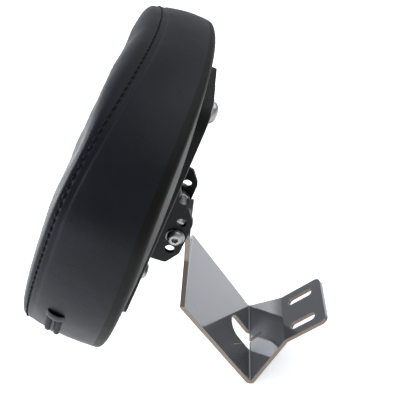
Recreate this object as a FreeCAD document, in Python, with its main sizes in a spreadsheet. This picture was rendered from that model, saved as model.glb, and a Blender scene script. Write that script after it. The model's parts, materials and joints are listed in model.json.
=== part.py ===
# Adjustable backrest pad on a bent, slotted mounting bracket.
# Millimetres. +X is the pad's left-right direction, +Y is rearward, +Z is up.
# The origin is on the outer face of the bracket's tongue, midway between its two slots.
import FreeCAD, Part

import math
import os
import sys

import Sketcher

Vector = FreeCAD.Vector
Rotation = FreeCAD.Rotation
Placement = FreeCAD.Placement
X_AXIS = Vector(1, 0, 0)
Z_AXIS = Vector(0, 0, 1)

# ---------------------------------------------------------------- driving dimensions
DIMENSIONS = [
    # alias, value, what it is
    ("plate_width", 76.2, "bracket plate width at both main bends"),
    ("plate_thick", 3.2, "bracket plate thickness"),
    ("bend_inside", 1.0, "inside radius of every bend"),
    ("lean_angle", 49.2, "rise of the tongue's tapered part above horizontal, degrees"),
    ("tongue_taper_len", 37.1, "tapered part of the tongue"),
    ("tongue_end_len", 36.2, "slotted end of the tongue"),
    ("tongue_end_width", 42.8, "width of the slotted end"),
    ("tongue_corner", 5.0, "corner radius of the tongue"),
    ("joggle_angle", 7.3, "downward set of the slotted end, degrees"),
    ("upright_len", 90.1, "upright, bend line to bend line"),
    ("upright_angle", 72.1, "inside angle between tongue and upright, degrees"),
    ("arm_angle", 36.8, "rise of the upper arm above the tongue, degrees"),
    ("arm_len", 53.0, "upper arm"),
    ("arm_width", 38.6, "width of the arm between the ears"),
    ("arm_taper_len", 24.0, "length over which the arm narrows"),
    ("arm_end_width", 21.2, "straight part of the arm's end"),
    ("arm_corner", 7.0, "length of the arm's slanted end corners"),
    ("arm_corner_r", 4.0, "rounding where the slanted corners meet the arm's sides"),
    ("arm_neck_r", 8.0, "rounding where the arm stops narrowing"),
    ("slot_len", 22.0, "tongue slot, end to end"),
    ("slot_width", 6.6, "tongue slot width"),
    ("slot_pitch", 24.2, "distance between the two slots"),
    ("slot_start", 5.8, "from the joggle to the slots"),
    ("window_width", 19.0, "opening above the lower bend"),
    ("window_height", 28.5, "opening above the lower bend"),
    ("relief_width", 3.2, "narrow relief slot in the tongue"),
    ("relief_len", 14.5, "relief slot, from the bend line"),
    ("pivot_along", 47.3, "pivot, along the arm from the upper bend"),
    ("bolt_r", 3.0, "pivot bolt shank"),
    ("bolt_hole_r", 3.25, "holes in the ears"),
    ("sleeve_r", 6.0, "pivot sleeve, outside"),
    ("sleeve_bore_r", 4.2, "pivot sleeve, inside"),
    ("sleeve_half", 14.3, "half the sleeve's length"),
    ("bush_bore_r", 3.05, "bush running on the bolt"),
    ("bush_flange_r", 5.6, "bush flange"),
    ("bush_flange_thick", 1.5, "bush flange"),
    ("bush_depth", 9.0, "bush length inside the sleeve"),
    ("running_gap", 0.3, "end play of the hinge on each side"),
    ("weld_inner", 1.0, "weld bead, edge nearest the foot of the sleeve"),
    ("weld_peak", 4.2, "weld bead, highest line"),
    ("weld_outer", 6.2, "weld bead, far edge"),
    ("weld_high", 2.0, "weld bead height"),
    ("weld_end_gap", 2.0, "bare sleeve at each end of a bead"),
    ("ear_gap", 40.6, "between the ears"),
    ("ear_thick", 3.0, "ears"),
    ("web_thick", 2.6, "web of the hinge channel"),
    ("ear_hole_pitch", 11.5, "distance between holes in an ear"),
    ("plate_rear", 9.2, "pivot to the back plate's rear face"),
    ("head_r", 5.5, "pivot bolt head"),
    ("head_high", 3.3, "pivot bolt head"),
    ("hex_key", 4.0, "hexagon socket across flats"),
    ("washer_r", 6.0, "pivot washer"),
    ("washer_thick", 1.0, "pivot washer"),
    ("nut_flats", 10.0, "lock nut across flats"),
    ("nut_high", 5.0, "lock nut steel part"),
    ("nut_collar_r", 4.2, "lock nut collar"),
    ("nut_collar_high", 2.0, "lock nut collar"),
    ("nut_insert_wall", 0.6, "nylon ring inside the collar"),
    ("nut_insert_sunk", 0.3, "nylon ring below the collar's edge"),
    ("bolt_past_nut", 1.5, "bolt end beyond the lock nut"),
    ("head_floor", 1.2, "metal left under the bolt's hexagon socket"),
    ("pad_angle", 68.8, "rise of the pad's up direction above horizontal, degrees"),
    ("back_plate_width", 48.0, "stainless back plate"),
    ("back_plate_top", 88.0, "back plate, above the pivot"),
    ("back_plate_low", 70.0, "back plate, below the pivot"),
    ("back_plate_thick", 2.0, "back plate"),
    ("back_plate_corner", 12.0, "back plate corner radius"),
    ("screw_high_at", 77.0, "upper pad screw, above the pivot"),
    ("screw_low_at", 58.0, "lower pad screw, below the pivot"),
    ("pad_screw_r", 3.0, "pad screw shank"),
    ("pad_head_r", 6.6, "pad screw dome"),
    ("pad_head_high", 4.3, "pad screw dome"),
    ("pad_washer_r", 8.0, "washer under a pad screw"),
    ("pad_washer_thick", 1.2, "washer under a pad screw"),
    ("channel_screw_at", 15.0, "channel screws, above and below the pivot"),
    ("channel_screw_r", 2.5, "channel screw shank"),
    ("channel_head_r", 4.6, "channel screw head"),
    ("channel_head_high", 2.4, "channel screw head"),
    ("screw_tip", 19.4, "pivot to the tips of the screws"),
    ("spacer_width", 74.0, "black spacer board"),
    ("spacer_top", 94.0, "spacer board, above the pivot"),
    ("spacer_low", 75.0, "spacer board, below the pivot"),
    ("spacer_corner", 16.0, "spacer board corner radius"),
    ("pad_half_width", 116.0, "pad, at its widest"),
    ("pad_widest_at", 56.5, "widest line, above the pivot"),
    ("pad_above", 57.7, "pad height above its widest line"),
    ("pad_below", 141.2, "pad height below its widest line"),
    ("pad_power", 2.2, "exponent of the pad outline"),
    ("pad_rear", 13.0, "pivot to the deepest point of the pad's rear"),
    ("dish_radius", 600.0, "sphere that the pad is curved to"),
    ("dish_centre_at", 30.0, "deepest point, above the pivot"),
    ("band_width", 39.0, "side band, rear edge to front seam"),
    ("cover_thick", 1.3, "cover leather"),
    ("rear_skin", 1.0, "rear lining"),
    ("board_thick", 5.0, "moulded plywood base"),
    ("board_inset", 12.0, "plywood edge inside the pad outline"),
    ("topper_high", 11.0, "crown of the front above the seam"),
    ("topper_inset", 18.0, "where the crown begins"),
    ("zip_low", 25.0, "zip, from the rear edge of the band"),
    ("zip_high", 33.5, "zip, from the rear edge of the band"),
    ("zip_thick", 0.9, "zip tape"),
    ("zip_top_at", -4.0, "upper ends of the zip, from the pivot"),
    ("tee_nut_r", 9.0, "flange of a tee nut"),
    ("tee_flange_thick", 1.2, "flange of a tee nut"),
    ("tee_barrel_wall", 0.9, "barrel wall of a tee nut"),
    ("tee_barrel_short", 1.0, "plywood left behind a tee nut's barrel"),
    ("tee_flange_lift", 0.3, "flange of a tee nut, above the curved plywood"),
    ("tee_pocket_high", 3.5, "hollow in the foam over a tee nut"),
    ("staple_inset", 20.0, "staples inside the pad outline"),
    ("staple_crown", 9.0, "staple width"),
    ("staple_wire", 1.0, "staple wire"),
    ("staple_leg", 4.0, "staple leg"),
]

doc = FreeCAD.newDocument("backrest")
sheet = doc.addObject("Spreadsheet::Sheet", "Dimensions")
for row, (alias, value, meaning) in enumerate(DIMENSIONS, start=1):
    sheet.set("A%d" % row, meaning)
    sheet.set("B%d" % row, repr(value))
    sheet.setAlias("B%d" % row, alias)
doc.recompute()

SLACK = 1.0         # how far a cutting tool runs past the face that it cuts
LONG = 120.0        # longer than the pad is deep, for tools that run right through it
CLEARANCE = 0.1     # around a bolt or screw in its hole, on the radius
ARC_SHORT = 0.01    # kept off a half-round end, so that its two arcs stay apart
START_RADIUS = 2.0  # a circle's radius before the sheet sets it
WEDGE_REACH = 1.3   # how far the bend's cutting tool goes, as a share of the bend's outside radius

# Button heads, as shares of the head's radius or height.
HEAD_LIP = 0.25
HEAD_SHOULDER_OUT = 0.80
HEAD_SHOULDER_UP = 0.78
HEAD_FLAT = 0.42
SOCKET_FLATS = 0.72
SOCKET_DEEP = 0.60

finished = []


def size(alias):
    """A driving dimension, read from the sheet."""
    return float(getattr(sheet, alias))


def linked(expression):
    """An expression in which every $name is a cell of the sheet."""
    return expression.replace("$", "Dimensions.")


# ---------------------------------------------------------------- frames
def polar(angle, length):
    """A vector in the YZ plane."""
    a = math.radians(angle)
    return Vector(0, length * math.cos(a), length * math.sin(a))


def tipped(angle):
    return Rotation(X_AXIS, angle)


# Points of the bracket's inner face, seen from the side, with the tongue's tapered part level.
joggle = polar(0, size("tongue_taper_len"))
tongue_tip = joggle + polar(-size("joggle_angle"), size("tongue_end_len"))
upper_bend = polar(size("upright_angle"), size("upright_len"))
arm_tip = upper_bend + polar(size("arm_angle"), size("arm_len"))
pivot_local = (upper_bend + polar(size("arm_angle"), size("pivot_along"))
               + polar(size("arm_angle") + 90, size("plate_thick") + size("sleeve_r")))

slot_middle = size("slot_start") + size("slot_len") / 2
origin_local = (joggle + polar(-size("joggle_angle"), slot_middle)
                + polar(-size("joggle_angle") - 90, size("plate_thick")))

BRACKET = Placement(Vector(), tipped(size("lean_angle"))) * Placement(-origin_local, Rotation())
PIVOT = BRACKET.multVec(pivot_local)
# In the pad's frame x is sideways, y runs up the pad and z points out of its front.
PAD = Placement(PIVOT, tipped(size("pad_angle")))


# ---------------------------------------------------------------- PartDesign helpers
def new_body(label, placement):
    body = doc.addObject("PartDesign::Body", label)
    body.Label = label
    body.Placement = placement
    finished.append(body)
    return body


def new_sketch(body, name, plane, offset=None):
    """A sketch on one of the body's own origin planes."""
    sketch = body.newObject("Sketcher::SketchObject", body.Label + "_" + name)
    support = [o for o in body.Origin.OriginFeatures if o.Role == plane][0]
    sketch.AttachmentSupport = [(support, "")]
    sketch.MapMode = "FlatFace"
    if offset is not None:
        sketch.AttachmentOffset = offset
    return sketch


def raised(height):
    return Placement(Vector(0, 0, height), Rotation())


def drive(sketch, kind, *where, by):
    """Adds a dimension to a sketch and binds it to the sheet."""
    index = sketch.addConstraint(Sketcher.Constraint(kind, *where))
    sketch.setExpression("Constraints[%d]" % index, linked(by))


def circle(sketch, by, x=0.0, y=0.0):
    """A circle whose radius follows the sheet."""
    index = sketch.addGeometry(Part.Circle(Vector(x, y, 0), Z_AXIS, START_RADIUS), False)
    drive(sketch, "DistanceX", -1, 1, index, 3, x, by="%r" % x)
    drive(sketch, "DistanceY", -1, 1, index, 3, y, by="%r" % y)
    drive(sketch, "Radius", index, START_RADIUS, by=by)


def rounded_path(points, radii):
    """Lines and arcs of a closed polygon with rounded corners."""
    count = len(points)
    starts, ends, arcs = [], [], []
    for i, corner in enumerate(points):
        to_last = (points[i - 1] - corner).normalize()
        to_next = (points[(i + 1) % count] - corner).normalize()
        half = to_last.getAngle(to_next) / 2
        reach = radii[i] / math.tan(half)
        first = corner + to_last * reach
        last = corner + to_next * reach
        bisector = (to_last + to_next).normalize()
        centre = corner + bisector * (radii[i] / math.sin(half))
        middle = centre - bisector * radii[i]
        starts.append(first)
        ends.append(last)
        arcs.append(Part.Arc(first, middle, last) if radii[i] > 0 else None)
    edges = []
    for i in range(count):
        if arcs[i] is not None:
            edges.append(arcs[i])
        following = (i + 1) % count
        if (starts[following] - ends[i]).Length > 1e-6:
            edges.append(Part.LineSegment(ends[i], starts[following]))
    return edges


def outline(sketch, points, radii=None):
    """A closed outline with rounded corners, in the sketch's own plane."""
    flat = [Vector(x, y, 0) for x, y in points]
    sketch.addGeometry(rounded_path(flat, radii or [0] * len(flat)), False)


def pad(body, sketch, by, both=False, backwards=False):
    feature = body.newObject("PartDesign::Pad", sketch.Name + "_pad")
    feature.Profile = sketch
    feature.setExpression("Length", linked(by))
    if both:
        feature.SideType = "Symmetric"
    feature.Reversed = backwards
    sketch.Visibility = False
    doc.recompute()
    return feature


def pocket(body, sketch, by, both=False, backwards=False):
    """A pocket that must take material away."""
    before = body.Shape.Volume
    feature = body.newObject("PartDesign::Pocket", sketch.Name + "_cut")
    feature.Profile = sketch
    feature.setExpression("Length", linked(by))
    if both:
        feature.SideType = "Symmetric"
    feature.Reversed = backwards
    doc.recompute()
    if body.Shape.Volume >= before - 1e-3:
        raise RuntimeError("%s cuts nothing" % sketch.Name)
    return feature


def ring(label, placement, outer, inner, length, start=0.0):
    """A washer, sleeve or spacer along the pivot axis, from start towards +X."""
    body = new_body(label, placement)
    sketch = new_sketch(body, "ring", "YZ_Plane", raised(start))
    circle(sketch, outer)
    circle(sketch, inner)
    pad(body, sketch, length)
    return body


def add_shape(label, shape, placement):
    """A piece whose form comes from curved surfaces."""
    piece = doc.addObject("Part::Feature", label)
    piece.Label = label
    piece.Shape = shape.removeSplitter()
    piece.Placement = placement
    finished.append(piece)
    return piece


# ---------------------------------------------------------------- bracket
def offset_corner(previous, corner, following, distance):
    """Where the two sides of a corner meet after both move sideways by distance."""
    before = (corner - previous).normalize()
    after = (following - corner).normalize()
    normal_before = Vector(0, -before.z, before.y)
    normal_after = Vector(0, -after.z, after.y)
    middle = (normal_before + normal_after).normalize()
    return corner + middle * (distance / middle.dot(normal_after))


def make_bracket():
    """One strip of plate: slotted tongue, upright and upper arm."""
    thick = size("plate_thick")
    inside = size("bend_inside")
    lower_bend = Vector()
    inner = [tongue_tip, joggle, lower_bend, upper_bend, arm_tip]
    outer = [tongue_tip + polar(-size("joggle_angle") - 90, thick)]
    for i in (1, 2, 3):
        outer.append(offset_corner(inner[i - 1], inner[i], inner[i + 1], thick))
    outer.append(arm_tip + polar(size("arm_angle") + 90, thick))
    points = inner + outer[::-1]
    radii = [0, inside + thick, inside, inside, 0, 0, inside + thick, inside + thick, inside, 0]

    body = new_body("mounting_bracket", BRACKET)
    side = new_sketch(body, "side", "YZ_Plane")
    outline(side, [(p.y, p.z) for p in points], radii)
    pad(body, side, "$plate_width", both=True)

    def flat_sketch(name, corner, angle):
        """A sketch lying on the inner face, x sideways and y along the plate."""
        turn = Placement(corner, tipped(angle))
        return new_sketch(body, name, "XY_Plane", turn)

    half = size("plate_width") / 2 + SLACK
    end_half = size("tongue_end_width") / 2
    far = size("tongue_end_len") + 2 * size("tongue_corner")

    # the tongue narrows, then runs parallel to rounded corners
    level = flat_sketch("taper", lower_bend, 0)
    bent = flat_sketch("tip", joggle, -size("joggle_angle"))
    taper = size("tongue_taper_len")
    tip_at = size("tongue_end_len")
    full = size("plate_width") / 2
    reach = SLACK * (full - end_half) / taper
    for side_sign in (-1, 1):
        outline(level, [(side_sign * full, 0), (side_sign * half, 0), (side_sign * half, taper),
                        (side_sign * end_half, taper)])
        outline(bent, [(side_sign * (end_half + reach), -SLACK), (side_sign * half, -SLACK),
                       (side_sign * half, far), (side_sign * end_half, far),
                       (side_sign * end_half, 0)])
    pocket(body, level, "4 * $plate_thick", both=True)
    pocket(body, bent, "4 * $plate_thick", both=True)

    # rounded corners of the tongue
    corners = flat_sketch("corners", joggle, -size("joggle_angle"))
    radius = size("tongue_corner")
    for side_sign in (-1, 1):
        inner_x = side_sign * (end_half - radius)
        edge_x = side_sign * (end_half + SLACK)
        low_y = tip_at - radius
        top_y = tip_at + SLACK
        diagonal = radius * math.sqrt(0.5)
        corners.addGeometry([
            Part.Arc(Vector(inner_x, tip_at, 0),
                     Vector(inner_x + side_sign * diagonal, low_y + diagonal, 0),
                     Vector(side_sign * end_half, low_y, 0)),
            Part.LineSegment(Vector(side_sign * end_half, low_y, 0), Vector(edge_x, low_y, 0)),
            Part.LineSegment(Vector(edge_x, low_y, 0), Vector(edge_x, top_y, 0)),
            Part.LineSegment(Vector(edge_x, top_y, 0), Vector(inner_x, top_y, 0)),
            Part.LineSegment(Vector(inner_x, top_y, 0), Vector(inner_x, tip_at, 0)),
        ], False)
    pocket(body, corners, "4 * $plate_thick", both=True)

    # the arm narrows to fit between the ears and ends in rounded corners
    arm = flat_sketch("arm", upper_bend, size("arm_angle"))
    arm_half = size("arm_width") / 2
    end_flat = size("arm_end_width") / 2
    narrow_at = size("arm_taper_len")
    arm_end = size("arm_len")
    round_at = arm_end - size("arm_corner")
    for side_sign in (-1, 1):
        outline(arm, [(side_sign * full, 0), (side_sign * half, 0),
                      (side_sign * half, arm_end + SLACK), (side_sign * end_flat, arm_end + SLACK),
                      (side_sign * end_flat, arm_end), (side_sign * arm_half, round_at),
                      (side_sign * arm_half, narrow_at)],
                [0, 0, 0, 0, 0, size("arm_corner_r"), size("arm_neck_r")])
    pocket(body, arm, "4 * $plate_thick", both=True)

    # two adjusting slots in the tongue
    slots = flat_sketch("slots", joggle, -size("joggle_angle"))
    slot_r = size("slot_width") / 2
    for side_sign in (-1, 1):
        x = side_sign * size("slot_pitch") / 2
        low = size("slot_start")
        high = low + size("slot_len")
        outline(slots, [(x - slot_r, low), (x + slot_r, low), (x + slot_r, high), (x - slot_r, high)],
                [slot_r - ARC_SHORT] * 4)
    pocket(body, slots, "4 * $plate_thick", both=True)

    # window in the upright: an arched opening in the flat, and the half of the bend below it
    half_window = size("window_width") / 2
    half_bend = (180 - size("upright_angle")) / 2
    flat_from = inside * math.tan(math.radians(half_bend))
    window_place = Placement(polar(size("upright_angle"), 0), tipped(size("upright_angle")))
    window = new_sketch(body, "window", "XY_Plane", window_place * raised(-SLACK))
    outline(window, [(-half_window, flat_from), (half_window, flat_from),
                     (half_window, size("window_height")), (-half_window, size("window_height"))],
            [0, 0, half_window - ARC_SHORT, half_window - ARC_SHORT])
    pocket(body, window, "$plate_thick + 2", backwards=True)

    bend_centre = polar(size("upright_angle") / 2, inside / math.sin(math.radians(size("upright_angle") / 2)))
    reach_out = WEDGE_REACH * (inside + thick)
    wedge_points = [bend_centre, bend_centre + polar(size("upright_angle") / 2 + 180, reach_out),
                    bend_centre + polar(size("upright_angle") + 90, reach_out)]
    wedge = new_sketch(body, "window_in_bend", "YZ_Plane")
    outline(wedge, [(p.y, p.z) for p in wedge_points])
    pocket(body, wedge, "$window_width", both=True)

    # relief slot that runs from the bend into the tongue
    relief = flat_sketch("relief", lower_bend, 0)
    half_relief = size("relief_width") / 2
    outline(relief, [(-half_relief, -thick), (half_relief, -thick),
                     (half_relief, size("relief_len")), (-half_relief, size("relief_len"))],
            [0, 0, half_relief - ARC_SHORT, half_relief - ARC_SHORT])
    pocket(body, relief, "4 * $plate_thick", both=True)


# ---------------------------------------------------------------- pivot
BOLT_HOLE = "$bolt_r + %r" % CLEARANCE
PAD_SCREW_HOLE = "$pad_screw_r + %r" % CLEARANCE
CHANNEL_SCREW_HOLE = "$channel_screw_r + %r" % CLEARANCE


def make_pivot():
    sleeve = new_body("pivot_sleeve", Placement(PIVOT, Rotation()))
    tube = new_sketch(sleeve, "tube", "YZ_Plane")
    circle(tube, "$sleeve_r")
    circle(tube, "$sleeve_bore_r")
    pad(sleeve, tube, "2 * $sleeve_half", both=True)

    # two weld beads hold the sleeve on the arm
    arm_normal = polar(size("lean_angle") + size("arm_angle") + 90, 1)
    arm_along = polar(size("lean_angle") + size("arm_angle"), 1)
    foot = PIVOT - arm_normal * size("sleeve_r")
    half_bead = size("sleeve_half") - size("weld_end_gap")
    sleeve_tool = Part.makeCylinder(size("sleeve_r"), LONG, PIVOT - Vector(LONG / 2, 0, 0), X_AXIS)
    beads = []
    for side_sign in (-1, 1):
        edge = [foot + arm_along * (side_sign * size("weld_inner")),
                foot + arm_along * (side_sign * size("weld_outer")),
                foot + arm_along * (side_sign * size("weld_peak")) + arm_normal * size("weld_high")]
        face = Part.Face(Part.makePolygon(edge + [edge[0]]))
        face.translate(Vector(-half_bead, 0, 0))
        bead = face.extrude(Vector(2 * half_bead, 0, 0))
        beads.append(bead.cut(sleeve_tool))
    add_shape("sleeve_welds", Part.makeCompound([b.Solids[0] for b in beads]), Placement())

    for side, sign in (("left", -1), ("right", 1)):
        turn = Placement(PIVOT, Rotation(Z_AXIS, 0 if sign > 0 else 180))
        bush = new_body("%s_bush" % side, turn)
        barrel = new_sketch(bush, "barrel", "YZ_Plane", raised(size("sleeve_half") - size("bush_depth")))
        circle(barrel, "$sleeve_bore_r")
        circle(barrel, "$bush_bore_r")
        pad(bush, barrel, "$bush_depth")
        flange = new_sketch(bush, "flange", "YZ_Plane", raised(size("sleeve_half")))
        circle(flange, "$bush_flange_r")
        circle(flange, "$bush_bore_r")
        pad(bush, flange, "$bush_flange_thick")
        spacer_start = size("sleeve_half") + size("bush_flange_thick") + size("running_gap")
        ring("%s_side_spacer" % side, turn, "$bush_flange_r", BOLT_HOLE,
             "$ear_gap / 2 - $sleeve_half - $bush_flange_thick - $running_gap", start=spacer_start)

    outer = size("ear_gap") / 2 + size("ear_thick")
    ring("bolt_head_washer", PAD, "$washer_r", BOLT_HOLE, "$washer_thick", start=outer)
    ring("nut_washer", PAD, "$washer_r", BOLT_HOLE, "$washer_thick",
         start=-outer - size("washer_thick"))
    make_pivot_bolt(outer + size("washer_thick"))
    make_lock_nut(outer + size("washer_thick"))


def head_profile(radius, height):
    """Half section of a button head: x is the radius, y the height over its seat."""
    rim = Vector(radius, 0, 0)
    lip = Vector(radius, HEAD_LIP * height, 0)
    shoulder = Vector(HEAD_SHOULDER_OUT * radius, HEAD_SHOULDER_UP * height, 0)
    flat = Vector(HEAD_FLAT * radius, height, 0)
    crown = Vector(0, height, 0)
    return [Part.LineSegment(Vector(), rim), Part.LineSegment(rim, lip), Part.Arc(lip, shoulder, flat),
            Part.LineSegment(flat, crown), Part.LineSegment(crown, Vector())]


def hexagon(flats):
    radius = flats / math.sqrt(3)
    corners = [math.radians(60 * k) for k in range(6)]
    return [(radius * math.cos(a), radius * math.sin(a)) for a in corners]


def make_pivot_bolt(seat):
    """Socket button-head bolt through both ears, head on the +X side."""
    facing_out = Placement(Vector(seat, 0, 0), Rotation(Vector(0, 1, 0), 90))
    bolt = new_body("pivot_bolt", PAD * facing_out)
    head = new_sketch(bolt, "head", "XZ_Plane")
    head.addGeometry(head_profile(size("head_r"), size("head_high")), False)
    turned = bolt.newObject("PartDesign::Revolution", "pivot_bolt_head_turned")
    turned.Profile = head
    turned.ReferenceAxis = (head, ["V_Axis"])
    turned.Angle = 360
    doc.recompute()
    shank = new_sketch(bolt, "shank", "XY_Plane")
    circle(shank, "$bolt_r")
    pad(bolt, shank, "$ear_gap + 2 * $ear_thick + 2 * $washer_thick + $nut_high + $nut_collar_high"
        " + $bolt_past_nut", backwards=True)
    socket = new_sketch(bolt, "socket", "XY_Plane", raised(size("head_high")))
    outline(socket, hexagon(size("hex_key")))
    pocket(bolt, socket, "$head_high - $head_floor")


def make_lock_nut(seat):
    """Lock nut with a nylon ring, on the -X side."""
    nut = new_body("lock_nut", PAD * Placement(Vector(-seat, 0, 0), Rotation(Vector(0, 1, 0), -90)))
    flats = new_sketch(nut, "hexagon", "XY_Plane")
    outline(flats, hexagon(size("nut_flats")))
    circle(flats, "$bolt_r")
    pad(nut, flats, "$nut_high")
    collar = new_sketch(nut, "collar", "XY_Plane", raised(size("nut_high")))
    circle(collar, "$nut_collar_r")
    circle(collar, "$bolt_r + $nut_insert_wall")
    pad(nut, collar, "$nut_collar_high")
    insert = new_body("lock_nut_insert", nut.Placement)
    nylon = new_sketch(insert, "ring", "XY_Plane", raised(size("nut_high")))
    circle(nylon, "$bolt_r + $nut_insert_wall")
    circle(nylon, "$bolt_r")
    pad(insert, nylon, "$nut_collar_high - $nut_insert_sunk")


# ---------------------------------------------------------------- hinge channel and back plate
# Corners of an ear in the pad's frame, (up the pad, out of its front), and their radii.
EAR_CORNERS = [(23.3, 9.2), (23.3, -0.4), (14.0, -7.0), (-12.5, -7.0), (-23.4, -1.0), (-23.4, 9.2)]
EAR_RADII = [0.0, 3.5, 7.0, 7.0, 3.0, 0.0]


def make_channel():
    """Black U-shaped channel: a web on the back plate and two ears with three holes each."""
    channel = new_body("hinge_channel", PAD)
    web = new_sketch(channel, "web", "XY_Plane", raised(size("plate_rear")))
    half = size("ear_gap") / 2 + size("ear_thick")
    low = EAR_CORNERS[-1][0]
    high = EAR_CORNERS[0][0]
    outline(web, [(-half, low), (half, low), (half, high), (-half, high)])
    pad(channel, web, "$web_thick", backwards=True)
    for sign in (-1, 1):
        start = size("ear_gap") / 2 if sign > 0 else -half
        ear = new_sketch(channel, "ear_%s" % ("right" if sign > 0 else "left"), "YZ_Plane", raised(start))
        outline(ear, EAR_CORNERS, EAR_RADII)
        pad(channel, ear, "$ear_thick")
    holes = new_sketch(channel, "holes", "YZ_Plane")
    for step in (-1, 0, 1):
        circle(holes, "$bolt_hole_r", x=step * size("ear_hole_pitch"))
    pocket(channel, holes, "2 * $plate_width", both=True)
    screws = new_sketch(channel, "screw_holes", "XY_Plane", raised(size("plate_rear") + SLACK))
    for step in (-1, 1):
        circle(screws, CHANNEL_SCREW_HOLE, y=step * size("channel_screw_at"))
    pocket(channel, screws, "2 * $web_thick + 2")


def rounded_plate(sketch, width, top, low, radius):
    half = width / 2
    outline(sketch, [(-half, -low), (half, -low), (half, top), (-half, top)], [radius] * 4)


def screw_places():
    """(height above the pivot, shank radius) of every screw into the pad."""
    return [(size("screw_high_at"), size("pad_screw_r")), (-size("screw_low_at"), size("pad_screw_r")),
            (size("channel_screw_at"), size("channel_screw_r")),
            (-size("channel_screw_at"), size("channel_screw_r"))]


def drilled(shape):
    """The shape with a hole for every screw."""
    for height, radius in screw_places():
        tool = Part.makeCylinder(radius + CLEARANCE, LONG, Vector(0, height, 0), Z_AXIS)
        shape = shape.cut(tool)
    return shape


def make_back_plate():
    plate = new_body("back_plate", PAD)
    sketch = new_sketch(plate, "outline", "XY_Plane", raised(size("plate_rear")))
    rounded_plate(sketch, size("back_plate_width"), size("back_plate_top"), size("back_plate_low"),
                  size("back_plate_corner"))
    pad(plate, sketch, "$back_plate_thick")
    holes = new_sketch(plate, "holes", "XY_Plane", raised(size("plate_rear") - SLACK))
    circle(holes, PAD_SCREW_HOLE, y=size("screw_high_at"))
    circle(holes, PAD_SCREW_HOLE, y=-size("screw_low_at"))
    circle(holes, CHANNEL_SCREW_HOLE, y=size("channel_screw_at"))
    circle(holes, CHANNEL_SCREW_HOLE, y=-size("channel_screw_at"))
    pocket(plate, holes, "$back_plate_thick + 2", backwards=True)


def button_screw(radius, height, shank, seat, at):
    """A button-headed screw from its seat into the plywood, its head pointing rearward."""
    face = Part.Face(Part.Wire([edge.toShape() for edge in head_profile(radius, height)]))
    head = face.revolve(Vector(), Vector(0, 1, 0), 360)
    head.rotate(Vector(), X_AXIS, -90)
    corners = [Vector(x, y, -height) for x, y in hexagon(SOCKET_FLATS * radius)]
    socket = Part.Face(Part.makePolygon(corners + [corners[0]])).extrude(Vector(0, 0, SOCKET_DEEP * height))
    stem = Part.makeCylinder(shank, size("screw_tip") + dish_depth(0, at) - seat, Vector(), Z_AXIS)
    screw = head.cut(socket).fuse(stem)
    screw.translate(Vector(0, at, seat))
    return screw.removeSplitter()


def make_screws():
    rear = size("plate_rear")
    seat = rear - size("pad_washer_thick")
    washers = []
    screws = []
    for height in (size("screw_high_at"), -size("screw_low_at")):
        washer = Part.makeCylinder(size("pad_washer_r"), size("pad_washer_thick"), Vector(0, height, seat))
        hole = Part.makeCylinder(size("pad_screw_r") + CLEARANCE, LONG, Vector(0, height, 0))
        washers.append(washer.cut(hole))
        screws.append(button_screw(size("pad_head_r"), size("pad_head_high"), size("pad_screw_r"),
                                   seat, height))
    add_shape("pad_screw_washers", Part.makeCompound(washers), PAD)
    add_shape("pad_screws", Part.makeCompound(screws), PAD)
    web_rear = rear - size("web_thick")
    small = [button_screw(size("channel_head_r"), size("channel_head_high"), size("channel_screw_r"),
                          web_rear, sign * size("channel_screw_at")) for sign in (-1, 1)]
    add_shape("channel_screws", Part.makeCompound(small), PAD)


# ---------------------------------------------------------------- pad
def dish_depth(x, y):
    """How far a curved layer has come forward at (x, y)."""
    radius = size("dish_radius")
    return radius - math.sqrt(radius ** 2 - x ** 2 - (y - size("dish_centre_at")) ** 2)


OUTLINE_POINTS = 28


def pad_outline(inset=0.0):
    """Points of the pad's outline: two halves of a superellipse that meet at its widest line."""
    power = 2 / size("pad_power")
    width = size("pad_half_width") - inset
    points = []
    for k in range(OUTLINE_POINTS):
        a = 2 * math.pi * k / OUTLINE_POINTS
        c, s = math.cos(a), math.sin(a)
        reach = size("pad_above") if s > 0 else size("pad_below")
        x = width * math.copysign(abs(c) ** power, c)
        y = size("pad_widest_at") + (reach - inset) * math.copysign(abs(s) ** power, s)
        points.append(Vector(x, y, 0))
    return points


def prism(inset=0.0):
    """A straight block with the pad's outline, smaller by inset all round."""
    curve = Part.BSplineCurve()
    curve.interpolate(pad_outline(inset), PeriodicFlag=True)
    face = Part.Face(Part.Wire(curve.toShape()))
    return face.extrude(Vector(0, 0, LONG))


def bowl(depth):
    """Everything in front of the curved surface that lies depth in front of the pad's rear."""
    radius = size("dish_radius") - depth
    centre = Vector(0, size("dish_centre_at"), size("pad_rear") + size("dish_radius"))
    return Part.makeSphere(radius, centre)


def layer(block, rear, front):
    """The part of a block between two depths."""
    return block.common(bowl(rear)).cut(bowl(front))


def make_spacer():
    """Board between the flat back plate and the curved pad."""
    half = size("spacer_width") / 2
    rear = size("plate_rear") + size("back_plate_thick")
    corners = [Vector(-half, -size("spacer_low"), rear), Vector(half, -size("spacer_low"), rear),
               Vector(half, size("spacer_top"), rear), Vector(-half, size("spacer_top"), rear)]
    edges = rounded_path(corners, [size("spacer_corner")] * len(corners))
    block = Part.Face(Part.Wire([edge.toShape() for edge in edges])).extrude(Vector(0, 0, LONG))
    add_shape("spacer_board", drilled(block.cut(bowl(0))), PAD)


def upright_cylinder(radius, height, at, low):
    """A cylinder square to the back plate, on the pad's centre line."""
    return Part.makeCylinder(radius, height, Vector(0, at, low), Z_AXIS)


def board_front(at):
    """Depth of the plywood's front face on the centre line."""
    return size("pad_rear") + dish_depth(0, at) + size("rear_skin") + size("board_thick")


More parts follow.
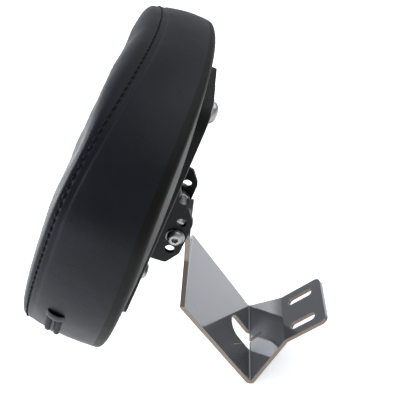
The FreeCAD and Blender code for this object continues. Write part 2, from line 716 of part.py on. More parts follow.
def make_base_board():
    """Curved plywood with a tee nut pressed in for every screw."""
    skin = size("rear_skin")
    thick = size("board_thick")
    board = layer(prism(size("board_inset")), skin, skin + thick)
    barrel_len = thick - size("tee_barrel_short")
    tees = []
    for at, shank in screw_places():
        seat = board_front(at) + size("tee_flange_lift")
        outer = shank + size("tee_barrel_wall")
        flange = upright_cylinder(size("tee_nut_r"), size("tee_flange_thick"), at, seat)
        barrel = upright_cylinder(outer, barrel_len, at, seat - barrel_len)
        tees.append(flange.fuse(barrel).cut(upright_cylinder(shank, LONG, at, 0)).removeSplitter())
        board = board.cut(upright_cylinder(outer, LONG, at, 0))
        board = board.cut(upright_cylinder(size("tee_nut_r"), LONG, at, seat))
    add_shape("base_board", board, PAD)
    add_shape("tee_nuts", Part.makeCompound(tees), PAD)


def make_foam():
    """Foam moulded round the plywood, and a softer layer under the front of the cover."""
    skin = size("rear_skin")
    band = size("band_width")
    cover = size("cover_thick")
    core = layer(prism(cover), skin, band)
    core = core.cut(layer(prism(size("board_inset")), skin - CLEARANCE, skin + size("board_thick")))
    for at, _ in screw_places():
        core = core.cut(upright_cylinder(size("tee_nut_r") + size("tee_flange_lift"),
                                         size("tee_pocket_high"), at, board_front(at) - SLACK))
    add_shape("foam_core", core, PAD)
    topper_front = band + size("topper_high") - cover
    add_shape("foam_topper", layer(prism(size("topper_inset")), band, topper_front), PAD)


def make_covers():
    """Rear lining, side band and front panel, which meet at the seams."""
    cover = size("cover_thick")
    band = size("band_width")
    crown = size("topper_high")
    add_shape("rear_cover", drilled(layer(prism(cover), 0, size("rear_skin"))), PAD)
    add_shape("side_band", layer(prism().cut(prism(cover)), 0, band), PAD)
    rim = layer(prism(), band, band + cover)
    raised_panel = layer(prism(size("topper_inset") - cover), band, band + crown)
    hollow = layer(prism(size("topper_inset")), band - SLACK, band + crown - cover)
    add_shape("front_cover", rim.fuse(raised_panel).cut(hollow), PAD)


def make_zip():
    """The zip that closes the cover, round the lower part of the band."""
    tape = layer(prism(-size("zip_thick")).cut(prism()), size("zip_low"), size("zip_high"))
    lower_part = Part.makeBox(2 * LONG, 2 * LONG, LONG, Vector(-LONG, size("zip_top_at") - 2 * LONG, 0))
    add_shape("cover_zip", tape.common(lower_part), PAD)


def make_staple():
    """One staple, its legs pointing into the plywood."""
    crown = size("staple_crown")
    wire = size("staple_wire")
    staple = Part.makeBox(crown, wire, wire, Vector(-crown / 2, -wire / 2, -wire))
    for x in (-crown / 2, crown / 2 - wire):
        staple = staple.fuse(Part.makeBox(wire, wire, size("staple_leg"), Vector(x, -wire / 2, -wire / 2)))
    return staple.removeSplitter()


def make_staples():
    """Staples that hold the turned edge of the cover, sunk in the plywood under the rear lining."""
    places = pad_outline(size("staple_inset"))
    clear_x = (size("spacer_width") + size("staple_crown")) / 2 + 2 * SLACK
    staples = []
    for k, at in enumerate(places):
        if abs(at.x) < clear_x:
            continue
        ahead = places[(k + 1) % len(places)]
        staple = make_staple()
        staple.rotate(Vector(), Z_AXIS, math.degrees(math.atan2(ahead.y - at.y, ahead.x - at.x)))
        sunk = size("rear_skin") + size("staple_wire")
        staple.translate(Vector(at.x, at.y, size("pad_rear") + dish_depth(at.x, at.y) + sunk))
        staples.append(staple)
    add_shape("cover_staples", Part.makeCompound(staples), PAD)


# ---------------------------------------------------------------- build and export
make_bracket()
make_pivot()
make_channel()
make_back_plate()
make_screws()
make_spacer()
make_base_board()
make_foam()
make_covers()
make_zip()
make_staples()
doc.recompute()

for item in doc.Objects:
    if "Invalid" in item.State or "Error" in item.State:
        sys.exit("%s failed: %s" % (item.Label, item.State))
for piece in finished:
    if piece.Shape.isNull() or not piece.Shape.isValid() or not piece.Shape.Solids:
        sys.exit("%s has no valid solid" % piece.Label)

os.makedirs("parts", exist_ok=True)
for piece in finished:
    piece.Shape.exportStep("parts/%s.step" % piece.Label)
    box = piece.Shape.BoundBox
    print("%-20s %9.1f mm3  x %.1f..%.1f  y %.1f..%.1f  z %.1f..%.1f" % (
        piece.Label, piece.Shape.Volume, box.XMin, box.XMax, box.YMin, box.YMax, box.ZMin, box.ZMax))
print("pivot", PIVOT)
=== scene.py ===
"""Looks of a padded backrest on a tilting hinge and a bent, polished bracket."""
import json
import math

import bmesh
import bpy
from mathutils import Matrix, Vector
from mathutils.kdtree import KDTree


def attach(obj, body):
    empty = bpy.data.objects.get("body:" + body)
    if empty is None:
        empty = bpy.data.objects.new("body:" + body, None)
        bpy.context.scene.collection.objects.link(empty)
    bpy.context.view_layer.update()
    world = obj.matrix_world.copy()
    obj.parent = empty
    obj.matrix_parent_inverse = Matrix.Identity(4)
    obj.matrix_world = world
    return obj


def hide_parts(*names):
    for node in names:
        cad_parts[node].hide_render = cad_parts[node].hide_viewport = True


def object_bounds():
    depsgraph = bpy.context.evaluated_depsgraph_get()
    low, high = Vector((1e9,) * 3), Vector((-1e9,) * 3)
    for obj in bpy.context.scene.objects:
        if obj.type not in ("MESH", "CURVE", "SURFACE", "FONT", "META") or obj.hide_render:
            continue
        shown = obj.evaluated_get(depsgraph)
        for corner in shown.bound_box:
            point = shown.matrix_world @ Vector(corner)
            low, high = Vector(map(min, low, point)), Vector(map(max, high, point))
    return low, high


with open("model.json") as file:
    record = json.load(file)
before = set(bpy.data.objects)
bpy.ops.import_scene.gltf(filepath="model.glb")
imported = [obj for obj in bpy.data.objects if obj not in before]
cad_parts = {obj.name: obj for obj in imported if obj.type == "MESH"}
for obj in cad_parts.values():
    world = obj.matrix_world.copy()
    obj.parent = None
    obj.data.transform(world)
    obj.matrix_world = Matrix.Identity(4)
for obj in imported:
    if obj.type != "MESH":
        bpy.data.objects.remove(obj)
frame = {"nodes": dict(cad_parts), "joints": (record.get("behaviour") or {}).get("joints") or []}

CAD_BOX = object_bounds()

MM = 0.001
TILT = "pad"                       # the body that the pad and everything on it rides on
PIVOT = Vector(frame["joints"][0]["pos_m"])
PAD_RISE = math.radians(68.8)      # how steeply the pad's up direction rises

# Outline of the pad, in millimetres above the pivot and out from the middle.
HALF_WIDTH = 110.5
WIDEST_AT = 56.5
ABOVE = 55.0
BELOW = 134.5
POWER = 2.2
CENTRE_AT = 35.0
AROUND = 300                       # columns of the pad's mesh
OUTLINE_STEPS = 7200               # fine steps from which the columns are spaced evenly
REAR_FLARE = 0.05                  # how much larger the rear edge is than the seam

# Depths, in millimetres in front of the pivot.
REAR_DEEPEST = 13.0
DISH_RADIUS = 600.0
DISH_CENTRE_AT = 30.0
SEAM_AT = 52.4                     # at the widest line, in the middle
SEAM_SPAN = 100.0                  # distance over which the next three add up to their full value
SEAM_WRAP = 9.96                   # forward at the sides
SEAM_SLOPE = 5.3                   # forward towards the bottom
SEAM_CURVE = 3.5                   # forward at the top and bottom
BAND_DEPTH = 40.0                  # the band's usual width
CROWN_LOW = 8.7                    # how far the front panel rolls up past its seam
CROWN_HIGH = 22.0                  # what that grows towards at the top edge
CROWN_GROWS_AT = 80.0
CROWN_GROWS_OVER = 37.0
ROLL_WIDTH = 31.0
DISH_STARTS = 0.8                  # as a share of the roll's width
DISH_WIDTH = 50.0
DISH_BELOW = 3.0                   # middle of the front panel, behind the seam's surface
WELL_INSIDE = 100.0                # an inset that is past the roll and the dish's edge
GROOVE = 0.75                      # how far in the seam is pulled
GROOVE_DEPTH = 0.2

# Zip, measured from the rear edge of the band.
ZIP_AT = 29.3
ZIP_TOP_AT = -4.0


# ---------------------------------------------------------------- places
def pad_point(x, up, out):
    """A point of the pad's own frame, millimetres, in the row frame, metres."""
    c, s = math.cos(PAD_RISE), math.sin(PAD_RISE)
    return PIVOT + Vector((x, up * c - out * s, up * s + out * c)) * MM


def pad_direction(x, up, out):
    return (pad_point(x, up, out) - PIVOT).normalized()


def smooth(value):
    """0 below 0, 1 above 1, and an even S-curve between."""
    value = min(max(value, 0.0), 1.0)
    return value * value * (3 - 2 * value)


def rear_depth(x, up):
    """The pad's rear face, curved to a sphere."""
    reach = x * x + (up - DISH_CENTRE_AT) ** 2
    return REAR_DEEPEST + DISH_RADIUS - math.sqrt(DISH_RADIUS ** 2 - reach)


def seam_depth(x, up):
    """The front seam's surface: it wraps forward at the sides and at the bottom."""
    side = x / SEAM_SPAN
    rise = (up - WIDEST_AT) / SEAM_SPAN
    return SEAM_AT + SEAM_WRAP * side ** 2 - SEAM_SLOPE * rise + SEAM_CURVE * rise ** 2


def crown(up, inset):
    """Height of the front panel over the seam's surface, inset millimetres in from the seam."""
    high = CROWN_LOW + (CROWN_HIGH - CROWN_LOW) * smooth((up - CROWN_GROWS_AT) / CROWN_GROWS_OVER)
    rolled = high * math.sqrt(1 - (1 - min(inset / ROLL_WIDTH, 1.0)) ** 2)
    dished = (high + DISH_BELOW) * smooth((inset - ROLL_WIDTH * DISH_STARTS) / DISH_WIDTH)
    return rolled - dished


def outline_at(angle):
    """A point of the pad's outline at its front seam, as (x, up)."""
    power = 2 / POWER
    c, s = math.cos(angle), math.sin(angle)
    reach = ABOVE if s > 0 else BELOW
    return Vector((HALF_WIDTH * math.copysign(abs(c) ** power, c),
                   WIDEST_AT + reach * math.copysign(abs(s) ** power, s)))


def even_outline(count):
    """Points spaced evenly along the pad's outline."""
    dense = [outline_at(2 * math.pi * k / OUTLINE_STEPS) for k in range(OUTLINE_STEPS + 1)]
    lengths = [0.0]
    for before, after in zip(dense, dense[1:]):
        lengths.append(lengths[-1] + (after - before).length)
    points = []
    at = 0
    for k in range(count):
        target = lengths[-1] * k / count
        while lengths[at + 1] < target:
            at += 1
        share = (target - lengths[at]) / (lengths[at + 1] - lengths[at])
        points.append(dense[at].lerp(dense[at + 1], share))
    return points


OUTLINE = even_outline(AROUND)


def flared(point, forward_share):
    """The outline's point at a share of the way from the pad's rear edge to its seam."""
    middle = Vector((0.0, WIDEST_AT))
    return middle + (point - middle) * (1 + REAR_FLARE * (1 - forward_share))


def outward(k):
    """Sideways normal of the outline at column k, as (x, up)."""
    along = OUTLINE[(k + 1) % AROUND] - OUTLINE[k - 1]
    return Vector((along.y, -along.x)).normalized()


# ---------------------------------------------------------------- materials
# Factors on a material's own tone or roughness, at the far end of its pattern.
MOTTLE_LIGHTER = 1.45
MARKS_ROUGHER = 1.7
GRAIN_LIGHTER = 1.35
GRAIN_ROUGHER = 1.3
BETWEEN_FIBRES = 0.5


def node(tree, kind, **inputs):
    made = tree.nodes.new(kind)
    for name, value in inputs.items():
        made.inputs[name.replace("_", " ")].default_value = value
    return made


def ramp(tree, source, stops):
    made = tree.nodes.new("ShaderNodeValToRGB")
    made.color_ramp.elements[0].position, made.color_ramp.elements[0].color = stops[0]
    made.color_ramp.elements[-1].position, made.color_ramp.elements[-1].color = stops[-1]
    for place, color in stops[1:-1]:
        made.color_ramp.elements.new(place).color = color
    tree.links.new(source, made.inputs["Fac"])
    return made


def grey(value, warm=0.0):
    return (value * (1 + warm), value, value * (1 - warm), 1.0)


def surface(name, metallic=0.0, specular=0.5):
    """A new material: its tree, its shader and the object's own coordinates."""
    material = bpy.data.materials.new(name)
    material.use_nodes = True
    tree = material.node_tree
    shader = tree.nodes["Principled BSDF"]
    shader.inputs["Metallic"].default_value = metallic
    shader.inputs["Specular IOR Level"].default_value = specular
    place = tree.nodes.new("ShaderNodeTexCoord").outputs["Object"]
    return material, tree, shader, place


def noise(tree, place, scale, detail=4.0):
    made = node(tree, "ShaderNodeTexNoise", Scale=scale, Detail=detail)
    tree.links.new(place, made.inputs["Vector"])
    return made.outputs["Fac"]


def bump(tree, shader, height, distance, strength=1.0):
    made = node(tree, "ShaderNodeBump", Distance=distance, Strength=strength)
    tree.links.new(height, made.inputs["Height"])
    tree.links.new(made.outputs["Normal"], shader.inputs["Normal"])
    return made


def leather(name, tone, rough_low, rough_high):
    """Smooth leatherette with a fine pebble grain."""
    material, tree, shader, place = surface(name, specular=0.09)
    cells = node(tree, "ShaderNodeTexVoronoi", Scale=1100.0)
    tree.links.new(place, cells.inputs["Vector"])
    mottled = noise(tree, place, scale=40.0)
    color = ramp(tree, mottled, [(0.3, tone), (0.7, tuple(c * MOTTLE_LIGHTER for c in tone[:3]) + (1.0,))])
    tree.links.new(color.outputs["Color"], shader.inputs["Base Color"])
    rough = ramp(tree, mottled, [(0.3, grey(rough_low)), (0.7, grey(rough_high))])
    tree.links.new(rough.outputs["Color"], shader.inputs["Roughness"])
    first = bump(tree, shader, cells.outputs["Distance"], distance=0.00012, strength=0.45)
    creases = node(tree, "ShaderNodeBump", Distance=0.0006, Strength=0.35)
    tree.links.new(noise(tree, place, scale=90.0), creases.inputs["Height"])
    tree.links.new(creases.outputs["Normal"], first.inputs["Normal"])
    return material


def polished_plate():
    """Polished stainless, with a painted tan reflection mixed into faces that turn to the side, such as
    the cut edges.
    """
    material, tree, shader, place = surface("polished_plate", metallic=0.60)
    geometry = tree.nodes.new("ShaderNodeNewGeometry")
    split = tree.nodes.new("ShaderNodeSeparateXYZ")
    tree.links.new(geometry.outputs["True Normal"], split.inputs["Vector"])
    painted_reflection_mask = tree.nodes.new("ShaderNodeMath")
    painted_reflection_mask.operation = "ABSOLUTE"
    tree.links.new(split.outputs["X"], painted_reflection_mask.inputs[0])
    # painted reflection: the more a face turns to the side, the more tan is mixed into the steel grey
    color = ramp(tree, painted_reflection_mask.outputs["Value"],
                 [(0.35, (0.172, 0.174, 0.182, 1.0)), (0.75, (0.20, 0.165, 0.135, 1.0))])
    tree.links.new(color.outputs["Color"], shader.inputs["Base Color"])
    scuffs = noise(tree, place, scale=55.0, detail=8.0)
    rough = ramp(tree, scuffs, [(0.35, grey(0.055)), (0.75, grey(0.14))])
    tree.links.new(rough.outputs["Color"], shader.inputs["Roughness"])
    waves = noise(tree, place, scale=14.0, detail=1.0)
    bump(tree, shader, waves, distance=0.0004, strength=0.12)
    return material


def metal(name, low, high, rough, warm=0.0, scale=300.0):
    """Turned or plated steel with fine marks."""
    material, tree, shader, place = surface(name, metallic=1.0)
    marks = noise(tree, place, scale, detail=6.0)
    color = ramp(tree, marks, [(0.3, grey(low, warm)), (0.7, grey(high, warm))])
    tree.links.new(color.outputs["Color"], shader.inputs["Base Color"])
    worn = ramp(tree, marks, [(0.3, grey(rough)), (0.7, grey(rough * MARKS_ROUGHER))])
    tree.links.new(worn.outputs["Color"], shader.inputs["Roughness"])
    bump(tree, shader, marks, distance=0.00008, strength=0.5)
    return material


def coated(name, tone, rough, scale=700.0, depth=0.00006, specular=0.45):
    """Powder coat, moulded plastic, nylon or foam: an even colour with a fine pebbled surface."""
    material, tree, shader, place = surface(name, specular=specular)
    grain = noise(tree, place, scale, detail=3.0)
    light = tuple(min(c * GRAIN_LIGHTER, 1.0) for c in tone)
    color = ramp(tree, grain, [(0.3, tone + (1.0,)), (0.75, light + (1.0,))])
    tree.links.new(color.outputs["Color"], shader.inputs["Base Color"])
    worn = ramp(tree, grain, [(0.3, grey(rough)), (0.75, grey(min(rough * GRAIN_ROUGHER, 1.0)))])
    tree.links.new(worn.outputs["Color"], shader.inputs["Roughness"])
    bump(tree, shader, grain, distance=depth, strength=0.6)
    return material


def woven(name, tone):
    """Thread or zip tape: two crossed sets of fibres."""
    material, tree, shader, place = surface(name, specular=0.2)
    fibres = []
    for direction in ("X", "Z"):
        wave = node(tree, "ShaderNodeTexWave", Scale=420.0)
        wave.bands_direction = direction
        tree.links.new(place, wave.inputs["Vector"])
        fibres.append(wave.outputs["Fac"])
    crossed = tree.nodes.new("ShaderNodeMath")
    crossed.operation = "MAXIMUM"
    tree.links.new(fibres[0], crossed.inputs[0])
    tree.links.new(fibres[1], crossed.inputs[1])
    color = ramp(tree, crossed.outputs["Value"],
                 [(0.2, tuple(c * BETWEEN_FIBRES for c in tone) + (1.0,)), (0.9, tone + (1.0,))])
    tree.links.new(color.outputs["Color"], shader.inputs["Base Color"])
    shader.inputs["Roughness"].default_value = 0.85
    bump(tree, shader, crossed.outputs["Value"], distance=0.00015, strength=0.8)
    return material


def plywood():
    """Birch plywood with wavy grain."""
    material, tree, shader, place = surface("birch_plywood", specular=0.3)
    grain = node(tree, "ShaderNodeTexWave", Scale=60.0, Distortion=6.0)
    tree.links.new(place, grain.inputs["Vector"])
    color = ramp(tree, grain.outputs["Fac"], [(0.1, (0.46, 0.32, 0.18, 1)), (0.9, (0.66, 0.50, 0.32, 1))])
    tree.links.new(color.outputs["Color"], shader.inputs["Base Color"])
    shader.inputs["Roughness"].default_value = 0.6
    bump(tree, shader, grain.outputs["Fac"], distance=0.0001, strength=0.4)
    return material


LEATHER = leather("black_leather", (0.0066, 0.0078, 0.0104, 1.0), rough_low=0.36, rough_high=0.46)
REAR_LEATHER = leather("rear_leather", (0.0052, 0.0048, 0.0042, 1.0), rough_low=0.46, rough_high=0.56)
THREAD = woven("black_thread", (0.006, 0.006, 0.0065))
ZIP_TAPE = woven("zip_tape", (0.014, 0.014, 0.015))
ZIP_COIL = coated("zip_coil", (0.012, 0.012, 0.013), rough=0.35)
PLATE = polished_plate()
STEEL = metal("turned_steel", low=0.30, high=0.42, rough=0.24)
ZINC = metal("zinc_plate", low=0.26, high=0.36, rough=0.24, warm=0.01)
WELD = metal("weld_bead", low=0.30, high=0.46, rough=0.30, warm=0.05, scale=900.0)
POWDER = coated("black_powder_coat", (0.0050, 0.0050, 0.0052), rough=0.42, specular=0.16)
OXIDE = coated("black_oxide", (0.016, 0.016, 0.017), rough=0.35)
MOULDED = coated("black_plastic", (0.0045, 0.0045, 0.0048), rough=0.50, specular=0.16)
NYLON = coated("nylon", (0.70, 0.69, 0.64), rough=0.40)
FOAM = coated("foam", (0.24, 0.24, 0.25), rough=0.95, scale=1500.0, depth=0.0003)
PLYWOOD = plywood()

NODE_MATERIALS = {
    "mounting_bracket": PLATE, "back_plate": PLATE,
    "pivot_sleeve": STEEL, "left_side_spacer": STEEL, "right_side_spacer": STEEL,
    "sleeve_welds": WELD, "left_bush": NYLON, "right_bush": NYLON, "lock_nut_insert": NYLON,
    "bolt_head_washer": ZINC, "nut_washer": ZINC, "pivot_bolt": ZINC, "lock_nut": ZINC,
    "pad_screw_washers": ZINC, "pad_screws": ZINC, "tee_nuts": ZINC, "cover_staples": ZINC,
    "hinge_channel": POWDER, "channel_screws": OXIDE, "spacer_board": MOULDED,
    "base_board": PLYWOOD, "foam_core": FOAM, "foam_topper": FOAM,
    "front_cover": LEATHER, "side_band": LEATHER, "rear_cover": REAR_LEATHER, "cover_zip": ZIP_TAPE,
}


def dress_nodes():
    """Gives each CAD node its material."""
    for name, material in NODE_MATERIALS.items():
        for slot in frame["nodes"][name].material_slots:
            slot.material = material


# ---------------------------------------------------------------- mesh helpers
def add_object(name, mesh, materials, shaded=True):
    piece = bpy.data.objects.new(name, mesh)
    bpy.context.scene.collection.objects.link(piece)
    for material in materials:
        mesh.materials.append(material)
    if shaded:
        for face in mesh.polygons:
            face.use_smooth = True
    return piece


def tube(bm, points, radius, sides=6):
    """A round tube through points, with closed ends."""
    rings = []
    last = len(points) - 1
    for k, at in enumerate(points):
        before = points[k - 1] if k else at
        after = points[k + 1] if k < last else at
        along = (after - before).normalized()
        side = along.orthogonal().normalized()
        up = along.cross(side)
        rings.append([bm.verts.new(at + (side * math.cos(a) + up * math.sin(a)) * radius)
                      for a in (2 * math.pi * j / sides for j in range(sides))])
    for here, there in zip(rings, rings[1:]):
        for j in range(sides):
            bm.faces.new((here[j], here[(j + 1) % sides], there[(j + 1) % sides], there[j]))
    bm.faces.new(rings[0][::-1])
    bm.faces.new(rings[-1])


def finished_mesh(name, bm):
    bmesh.ops.recalc_face_normals(bm, faces=bm.faces)
    mesh = bpy.data.meshes.new(name)
    bm.to_mesh(mesh)
    bm.free()
    return mesh


# ---------------------------------------------------------------- pad
REAR_SHARES = [0.06, 0.14, 0.24, 0.35, 0.46, 0.57, 0.67, 0.76, 0.84, 0.90, 0.95, 0.98]
REAR_EDGE_STEPS = [(2.4, 0.0), (1.1, 0.35), (0.3, 1.2), (0.0, 2.4)]      # (inset, forward)
BAND_SHARES = [0.12, 0.20, 0.28, 0.36, 0.44, 0.52, 0.60, 0.68, 0.76, 0.84, 0.90]
NEAR_SEAM = [3.6, 1.9, 0.8]                                              # band rings, behind the seam
FRONT_INSETS = [0.8, 1.9, 3.4, 5.5, 8.0, 11.0, 14.5, 18.5, 23.0, 28.0, 34.0, 41.0]
FRONT_SHARES = [0.5, 0.42, 0.34, 0.26, 0.18, 0.11, 0.05]
BAND_BULGE = 1.6
KINDS = {"rear": 0, "band": 1, "seam": 2, "front": 3}                    # the part a vertex belongs to


def toward_centre(point, inset):
    """A point of the outline moved inset millimetres towards the middle of the pad."""
    inward = Vector((0.0, CENTRE_AT)) - point
    return point + inward.normalized() * min(inset, inward.length)


def shared(point, share):
    """A point share of the way out from the middle of the pad."""
    return Vector((0.0, CENTRE_AT)).lerp(point, share)


def front_point(at, inset):
    """A point of the front panel, inset millimetres in from the seam."""
    out = seam_depth(at.x, at.y) + crown(at.y, inset)
    return pad_point(at.x, at.y, out)


def pad_rings():
    """Rings of points from the rear's middle over the band to the front's middle."""
    rings = []
    for share in REAR_SHARES:
        ring = [shared(flared(p, 0), share) for p in OUTLINE]
        rings.append(("rear", [pad_point(p.x, p.y, rear_depth(p.x, p.y)) for p in ring]))
    for inset, forward in REAR_EDGE_STEPS:
        ring = [toward_centre(flared(p, 0), inset) for p in OUTLINE]
        rings.append(("rear", [pad_point(p.x, p.y, rear_depth(p.x, p.y) + forward) for p in ring]))
    for share in BAND_SHARES:
        rings.append(("band", [band_point(k, share) for k in range(AROUND)]))
    for behind in NEAR_SEAM:
        ring = [flared(p, 1 - behind / BAND_DEPTH) for p in OUTLINE]
        rings.append(("band", [pad_point(p.x, p.y, seam_depth(p.x, p.y) - behind) for p in ring]))
    sunk = [toward_centre(p, GROOVE) for p in OUTLINE]
    rings.append(("seam", [pad_point(p.x, p.y, seam_depth(p.x, p.y) - GROOVE_DEPTH) for p in sunk]))
    for inset in FRONT_INSETS:
        rings.append(("front", [front_point(toward_centre(p, inset), inset) for p in OUTLINE]))
    for share in FRONT_SHARES:
        rings.append(("front", [front_point(shared(p, share), (1 - share) * (p - shared(p, 0)).length)
                                for p in OUTLINE]))
    return rings


def band_point(k, share):
    """A point of the side band, share of the way from its rear edge to the seam."""
    p = flared(OUTLINE[k], share) + outward(k) * (BAND_BULGE * math.sin(math.pi * share))
    rear = rear_depth(p.x, p.y)
    return pad_point(p.x, p.y, rear + share * (seam_depth(p.x, p.y) - rear))


def make_pad_mesh():
    """The cushion's mesh: the rear has the second material, and each vertex keeps its kind."""
    bm = bmesh.new()
    kinds = bm.verts.layers.int.new("kind")
    grid = []
    for kind, points in pad_rings():
        row = []
        for at in points:
            vertex = bm.verts.new(at)
            vertex[kinds] = KINDS[kind]
            row.append(vertex)
        grid.append((kind, row))
    for (kind, here), (_, there) in zip(grid, grid[1:]):
        for k in range(AROUND):
            following = (k + 1) % AROUND
            face = bm.faces.new((here[k], here[following], there[following], there[k]))
            face.material_index = 1 if kind == "rear" else 0
    middles = (("rear", grid[0][1], rear_depth(0, CENTRE_AT), 1),
               ("front", grid[-1][1], seam_depth(0, CENTRE_AT) + crown(CENTRE_AT, WELL_INSIDE), 0))
    for kind, row, out, index in middles:
        middle = bm.verts.new(pad_point(0, CENTRE_AT, out))
        middle[kinds] = KINDS[kind]
        for k in range(AROUND):
            face = bm.faces.new((row[k], row[(k + 1) % AROUND], middle))
            face.material_index = index
    return finished_mesh("pad_cushion", bm)


# Cloth simulation, in metres and the solver's own units.
VOXEL = 0.0045
PRESSURE = 4.0
STRETCH_STIFFNESS = 30
BENDING_STIFFNESS = 2
CLOTH_FRAMES = 20
MOST_MOVE = 0.0035
PIN_REACH = 0.0045
PIN_DEPTH = 3.0                    # millimetres in front of the rear that are held
NEIGHBOURS = 12


def simulated_moves(mesh):
    """Inflates a remeshed copy of the pad as cloth; returns pairs of (place, how it moved)."""
    scene = bpy.context.scene
    copy = bpy.data.objects.new("cloth_copy", mesh.copy())
    scene.collection.objects.link(copy)
    remesh = copy.modifiers.new("remesh", "REMESH")
    remesh.mode = "VOXEL"
    remesh.voxel_size = VOXEL
    even = bpy.data.meshes.new_from_object(copy.evaluated_get(bpy.context.evaluated_depsgraph_get()))
    copy.modifiers.clear()
    copy.data = even

    held = KDTree(AROUND)
    for k, p in enumerate(OUTLINE):
        held.insert(pad_point(p.x, p.y, seam_depth(p.x, p.y)), k)
    held.balance()
    start = [v.co.copy() for v in even.vertices]
    out_axis = pad_direction(0, 0, 1)
    pins = copy.vertex_groups.new(name="pins")
    for index, at in enumerate(start):
        on_seam = held.find(at)[2] < PIN_REACH
        local = at - PIVOT
        up = local.dot(pad_direction(0, 1, 0)) / MM
        on_rear = local.dot(out_axis) / MM < rear_depth(local.x / MM, up) + PIN_DEPTH
        if on_seam or on_rear:
            pins.add([index], 1.0, "REPLACE")

    cloth = copy.modifiers.new("cloth", "CLOTH")
    cloth.settings.vertex_group_mass = "pins"
    cloth.settings.use_pressure = True
    cloth.settings.uniform_pressure_force = PRESSURE
    cloth.settings.effector_weights.gravity = 0
    cloth.settings.tension_stiffness = STRETCH_STIFFNESS
    cloth.settings.compression_stiffness = STRETCH_STIFFNESS
    cloth.settings.bending_stiffness = BENDING_STIFFNESS
    cloth.point_cache.frame_start = 1
    cloth.point_cache.frame_end = CLOTH_FRAMES
    for step in range(1, CLOTH_FRAMES + 1):
        scene.frame_set(step)
    result = copy.evaluated_get(bpy.context.evaluated_depsgraph_get()).to_mesh()
    moves = []
    for before, vertex in zip(start, result.vertices):
        move = vertex.co - before
        if move.length > MOST_MOVE:
            move = move.normalized() * MOST_MOVE
        moves.append((before, move))
    bpy.data.objects.remove(copy)
    scene.frame_set(1)
    return moves


def apply_moves(mesh, moves):
    """Moves the pad's band and front as the cloth moved near them."""
    tree = KDTree(len(moves))
    for index, (at, _) in enumerate(moves):
        tree.insert(at, index)
    tree.balance()
    kinds = mesh.attributes["kind"].data
    held = (KINDS["rear"], KINDS["seam"])
    for vertex in mesh.vertices:
        if kinds[vertex.index].value in held:
            continue
        total = Vector()
        weight = 0.0
        for _, index, distance in tree.find_n(vertex.co, NEIGHBOURS):
            share = 1 / (distance + VOXEL / 2) ** 2
            total += moves[index][1] * share
            weight += share
        vertex.co += total / weight


def make_pad():
    """The leather cushion, which stands for the covers and the foam."""
    mesh = make_pad_mesh()
    apply_moves(mesh, simulated_moves(mesh))
    piece = add_object("pad_cushion", mesh, [LEATHER, REAR_LEATHER])
    finer = piece.modifiers.new("finer", "SUBSURF")
    finer.levels = 1
    finer.render_levels = 1
    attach(piece, TILT)
    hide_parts("front_cover", "side_band", "rear_cover", "foam_core", "foam_topper")


# ---------------------------------------------------------------- seam and zip
STITCHES = AROUND // 2
STITCH_SHARE = 0.62
THREAD_RADIUS = 0.00032            # metres
THREAD_PROUD = 0.0003              # metres
STITCH_LIFT = 0.35                 # millimetres above the bottom of the groove


def make_stitches():
    """A row of thread lying in the seam's groove."""
    bm = bmesh.new()
    seam = [toward_centre(p, GROOVE - STITCH_LIFT) for p in OUTLINE]
    places = [pad_point(p.x, p.y, seam_depth(p.x, p.y) + STITCH_LIFT) for p in seam]
    for k in range(STITCHES):
        first = places[2 * k]
        last = first.lerp(places[(2 * k + 2) % AROUND], STITCH_SHARE)
        middle = (first + last) / 2
        proud = (middle - pad_point(0, CENTRE_AT, 0)).normalized() * THREAD_PROUD
        tube(bm, [first, middle + proud, last], THREAD_RADIUS)
    piece = add_object("seam_stitches", finished_mesh("seam_stitches", bm), [THREAD])
    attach(piece, TILT)


def zip_columns():
    """Columns of the pad's mesh that the zip runs along."""
    return [k for k in range(AROUND) if OUTLINE[k].y < ZIP_TOP_AT]


def zip_place(k, across, proud):
    """A point on the band: across millimetres in front of the zip's middle, proud of the leather."""
    out = ZIP_AT + across
    edge = OUTLINE[k]
    depth = seam_depth(edge.x, edge.y) - rear_depth(edge.x, edge.y)
    share = out / depth
    p = flared(edge, share) + outward(k) * (BAND_BULGE * math.sin(math.pi * share) + proud)
    return pad_point(p.x, p.y, rear_depth(p.x, p.y) + out)


# A tape's section as (across, proud) points, in millimetres from the zip's middle.
TAPE_SECTION = [(1.1, 0.1), (1.3, 0.9), (2.2, 1.4), (3.6, 1.3), (4.3, 0.7), (4.4, -0.6), (1.1, -0.6)]
TOOTH_SECTION = [(-1.2, 0.2), (0, 0.8), (1.2, 0.2)]
COIL_RADIUS = 0.0004               # metres

# The tab over each end of the zip, in millimetres where nothing else is said.
TAB_ACROSS = [-4.8, -3.6, -1.8, 0.0, 1.8, 3.6, 4.8]
TAB_ROWS = 5
TAB_COLUMNS = 3                    # columns of the pad's mesh that it covers
TAB_OVERLAP = 0.3                  # share of it that lies over the tapes
TAB_LIFT = 1.3
TAB_ARCH = 0.3
TAB_DROOP = 1.4
TAB_THICK = 0.0011                 # metres


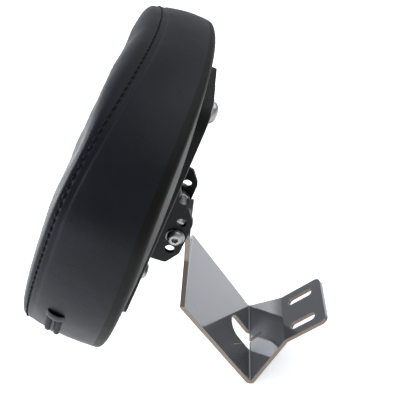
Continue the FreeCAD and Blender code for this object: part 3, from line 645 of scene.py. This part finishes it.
def make_zip():
    """Two raised tapes with a coil between them, and a tab over each end."""
    columns = zip_columns()
    bm = bmesh.new()
    for side in (-1, 1):
        rows = [[bm.verts.new(zip_place(k, side * across, proud)) for across, proud in TAPE_SECTION]
                for k in columns]
        size = len(TAPE_SECTION)
        for here, there in zip(rows, rows[1:]):
            for j in range(size):
                bm.faces.new((here[j], here[(j + 1) % size], there[(j + 1) % size], there[j]))
        bm.faces.new(rows[0])
        bm.faces.new(rows[-1][::-1])
    tapes = add_object("zip_tapes", finished_mesh("zip_tapes", bm), [ZIP_TAPE])
    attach(tapes, TILT)
    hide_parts("cover_zip")

    bm = bmesh.new()
    for k, following in zip(columns, columns[1:]):
        for share in (0.0, 0.5):
            tooth = [zip_place(k, across, proud).lerp(zip_place(following, across, proud), share)
                     for across, proud in TOOTH_SECTION]
            tube(bm, tooth, COIL_RADIUS, sides=5)
    coil = add_object("zip_coil", finished_mesh("zip_coil", bm), [ZIP_COIL])
    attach(coil, TILT)

    make_zip_end("right_zip_end", columns[-1], TAB_COLUMNS)
    make_zip_end("left_zip_end", columns[0], -TAB_COLUMNS)


def make_zip_end(name, column, ahead):
    """A small folded tab of leather over the end of the zip."""
    bm = bmesh.new()
    rows = []
    for step in range(TAB_ROWS):
        share = step / (TAB_ROWS - 1)
        lift = TAB_LIFT + TAB_ARCH * math.sin(math.pi * share)
        k = (column + round(ahead * (share - TAB_OVERLAP))) % AROUND
        row = []
        for across in TAB_ACROSS:
            droop = TAB_DROOP * (abs(across) / TAB_ACROSS[-1]) ** 3
            row.append(bm.verts.new(zip_place(k, across, lift - droop)))
        rows.append(row)
    for here, there in zip(rows, rows[1:]):
        for j in range(len(here) - 1):
            bm.faces.new((here[j], here[j + 1], there[j + 1], there[j]))
    piece = add_object(name, finished_mesh(name, bm), [LEATHER])
    thick = piece.modifiers.new("thick", "SOLIDIFY")
    thick.thickness = TAB_THICK
    thick.offset = 0
    finer = piece.modifiers.new("finer", "SUBSURF")
    finer.levels = 2
    finer.render_levels = 2
    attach(piece, TILT)


# ---------------------------------------------------------------- studio
FLOOR_GLOW = 0.42                  # lifts the floor to the white of a studio sweep
FLOOR_HALF = 4.0
FLOOR_GAP = 0.0006                 # between the object's lowest point and the floor
WORLD_COLOR = (0.95, 0.97, 1.0, 1.0)
WORLD_STRENGTH = 0.58
OBJECT_MIDDLE = (0, -0.08, 0.09)
LENS = 45.96
SENSOR = 36.0
CAMERA_PLACE = (0.2807, -0.0580, 0.3003)
CAMERA_LOOKS = (-0.8047, -0.0406, -0.5923)


def make_floor():
    """Plain white paper just under the object."""
    low = CAD_BOX[0][2] - FLOOR_GAP
    bm = bmesh.new()
    bmesh.ops.create_grid(bm, x_segments=2, y_segments=2, size=FLOOR_HALF)
    bmesh.ops.translate(bm, verts=bm.verts, vec=(0, 0, low))
    floor = add_object("studio_floor", finished_mesh("studio_floor", bm), [], shaded=False)
    material, tree, shader, place = surface("studio_paper", specular=0.1)
    paper = ramp(tree, noise(tree, place, scale=3.0), [(0.3, grey(0.93)), (0.7, grey(0.94))])
    tree.links.new(paper.outputs["Color"], shader.inputs["Base Color"])
    shader.inputs["Roughness"].default_value = 0.9
    shader.inputs["Emission Color"].default_value = (1.0, 1.0, 1.0, 1.0)
    shader.inputs["Emission Strength"].default_value = FLOOR_GLOW
    floor.data.materials.append(material)


def area_light(name, place, size, power, color):
    """A square soft light aimed at the object."""
    data = bpy.data.lights.new(name, "AREA")
    data.shape = "SQUARE"
    data.size = size
    data.energy = power
    data.color = color
    lamp = bpy.data.objects.new(name, data)
    bpy.context.scene.collection.objects.link(lamp)
    lamp.location = place
    lamp.rotation_euler = (Vector(OBJECT_MIDDLE) - Vector(place)).to_track_quat("-Z", "Y").to_euler()


def make_lights():
    """An even sky, a soft key in front of the pad and a weak fill above and behind."""
    world = bpy.data.worlds.new("studio")
    world.use_nodes = True
    sky = world.node_tree.nodes["Background"]
    sky.inputs["Color"].default_value = WORLD_COLOR
    sky.inputs["Strength"].default_value = WORLD_STRENGTH
    bpy.context.scene.world = world
    area_light("key", (-0.12, -1.30, 0.34), size=1.1, power=52.0, color=(0.88, 0.94, 1.0))
    area_light("fill", (-0.35, 0.50, 1.10), size=1.1, power=8.0, color=(0.93, 0.96, 1.0))


def make_camera():
    """The camera at the photograph's viewing angle."""
    data = bpy.data.cameras.new("camera")
    data.lens = LENS
    data.sensor_width = SENSOR
    camera = bpy.data.objects.new("camera", data)
    bpy.context.scene.collection.objects.link(camera)
    forward = Vector(CAMERA_LOOKS).normalized()
    right = forward.cross(Vector((0, 0, 1))).normalized()
    up = right.cross(forward)
    turn = Matrix((right, up, -forward)).transposed().to_4x4()
    camera.matrix_world = Matrix.Translation(CAMERA_PLACE) @ turn
    bpy.context.scene.camera = camera


dress_nodes()
make_pad()
make_stitches()
make_zip()
make_floor()
make_lights()
make_camera()
bpy.context.scene.view_settings.view_transform = "Standard"
